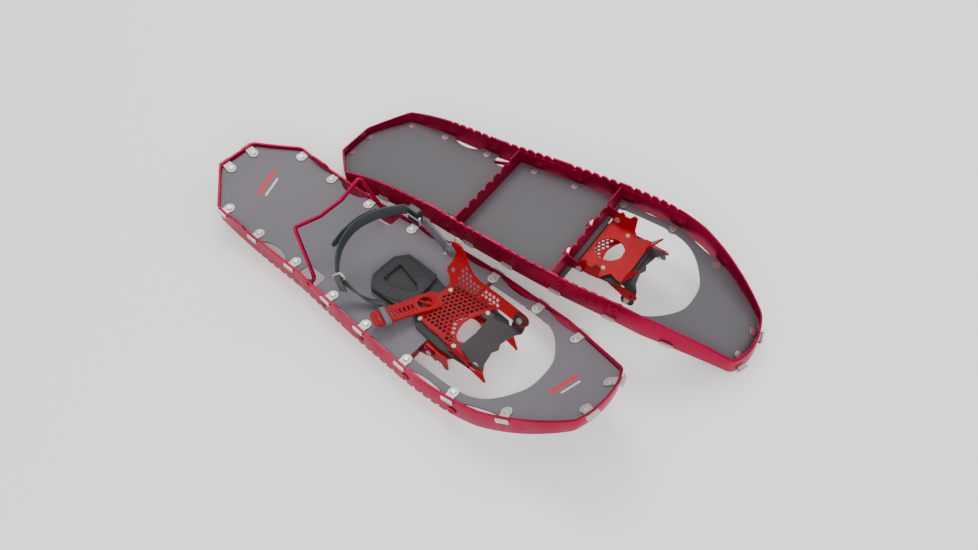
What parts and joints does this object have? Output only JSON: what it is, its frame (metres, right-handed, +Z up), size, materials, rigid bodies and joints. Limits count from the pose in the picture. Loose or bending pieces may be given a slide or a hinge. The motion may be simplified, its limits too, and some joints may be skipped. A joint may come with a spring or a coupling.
{
  "type": "pair of snowshoes",
  "caption": "Pair of mountain snowshoes with toothed blade frames, fabric decks, pivoting crampon bindings, heel straps and heel-lift bails, one upright and one upside down.",
  "frame": {"origin": "on the ground under the middle of the pair", "axes": "+X towards the toe of the upright right shoe, +Y towards the upside-down left shoe, +Z up"},
  "size_m": [0.7306, 0.3898, 0.1035],
  "materials": {
    "frame": "satin raspberry anodised",
    "deck": "coated grey fabric",
    "clip": "bead blasted",
    "crossmember": "raspberry powder coat",
    "crampon": "red powder coat",
    "steel": "brushed",
    "base": "moulded dark grey",
    "toe": "dark coated steel",
    "mesh": "moulded red elastomer",
    "strap": "moulded dark strap",
    "post": "moulded grey strap",
    "buckle": "moulded black"
  },
  "bodies": {
    "right_frame": {"right_frame_rail": "frame", "right_deck": "deck", "right_deck_clips": "clip", "right_deck_rivets": "clip", "right_rear_crossmember": "crossmember", "right_front_crossmember": "crossmember", "right_crossmember_rivets": "frame", "right_bail_grommets": "buckle", "right_hinge_pins": "steel"},
    "right_bail": {"right_heel_lift_bail": "frame"},
    "right_binding": {"right_crampon_plate": "crampon", "right_binding_base": "base", "right_toe_plate": "toe", "right_base_rivets": "steel", "right_toe_screws": "steel", "right_forefoot_mesh": "mesh", "right_forefoot_strap": "mesh", "right_ankle_rivet": "steel", "right_strap_hook": "clip", "right_adjuster_strap": "strap"},
    "right_heel_strap": {"right_ankle_post": "post", "right_heel_strap": "strap", "right_heel_buckle": "buckle", "right_strap_adjuster": "steel"},
    "right_prong": {"right_buckle_prong": "steel"},
    "right_keeper": {"right_strap_keeper": "post"},
    "left_frame": {"left_frame_rail": "frame", "left_deck": "deck", "left_deck_clips": "clip", "left_deck_rivets": "clip", "left_rear_crossmember": "crossmember", "left_front_crossmember": "crossmember", "left_crossmember_rivets": "frame", "left_bail_grommets": "buckle", "left_hinge_pins": "steel"},
    "left_bail": {"left_heel_lift_bail": "frame"},
    "left_binding": {"left_crampon_plate": "crampon", "left_binding_base": "base", "left_toe_plate": "toe", "left_base_rivets": "steel", "left_toe_screws": "steel", "left_forefoot_mesh": "mesh", "left_forefoot_strap": "mesh", "left_ankle_rivet": "steel", "left_strap_hook": "clip", "left_adjuster_strap": "strap"},
    "left_heel_strap": {"left_ankle_post": "post", "left_heel_strap": "strap", "left_heel_buckle": "buckle", "left_strap_adjuster": "steel"},
    "left_prong": {"left_buckle_prong": "steel"},
    "left_keeper": {"left_strap_keeper": "post"}
  },
  "joints": [
    {"name": "right_binding_pivot", "type": "hinge", "parent": "right_frame", "child": "right_binding", "pos_m": [0.05965, -0.09936, 0.02], "axis": [0, 1, 0], "range_deg": [0, 58]},
    {"name": "right_heel_lift", "type": "hinge", "parent": "right_frame", "child": "right_bail", "pos_m": [-0.12535, -0.09936, 0.0288], "axis": [0, 1, 0], "range_deg": [-50, 0]},
    {"name": "right_heel_strap_swing", "type": "hinge", "parent": "right_binding", "child": "right_heel_strap", "pos_m": [-0.00434, -0.04126, 0.067], "axis": [0, 1, 0], "range_deg": [0, 14]},
    {"name": "right_prong_pivot", "type": "hinge", "parent": "right_heel_strap", "child": "right_prong", "pos_m": [-0.04834, -0.04636, 0.092], "axis": [0, 0, 1], "range_deg": [0, 50]},
    {"name": "right_keeper_slide", "type": "slide", "parent": "right_binding", "child": "right_keeper", "axis": [0.3751, 0.9197, -0.1162], "range_m": [0, 0.02]},
    {"name": "left_binding_pivot", "type": "hinge", "parent": "left_frame", "child": "left_binding", "pos_m": [0.13295, 0.09529, 0.06477], "axis": [0.0993, -0.9951, 0], "range_deg": [0, 58]},
    {"name": "left_heel_lift", "type": "hinge", "parent": "left_frame", "child": "left_bail", "pos_m": [-0.05004, 0.07703, 0.04279], "axis": [0.0993, -0.9951, 0], "range_deg": [0, 50]},
    {"name": "left_heel_strap_swing", "type": "hinge", "parent": "left_binding", "child": "left_heel_strap", "pos_m": [0.06579, 0.14698, 0.03028], "axis": [0.0993, -0.9951, 0], "range_deg": [0, 14]},
    {"name": "left_prong_pivot", "type": "hinge", "parent": "left_heel_strap", "child": "left_prong", "pos_m": [0.02359, 0.13764, 0.01368], "axis": [-0.071, -0.0071, 0.9975], "range_deg": [0, 50]},
    {"name": "left_keeper_slide", "type": "slide", "parent": "left_binding", "child": "left_keeper", "axis": [0.2727, 0.9515, 0.1426], "range_m": [0, 0.02]},
    {"name": "left_shoe_lift", "type": "slide", "parent": "right_frame", "child": "left_frame", "axis": [0, 0, 1], "range_m": [0, 0.3]}
  ]
}
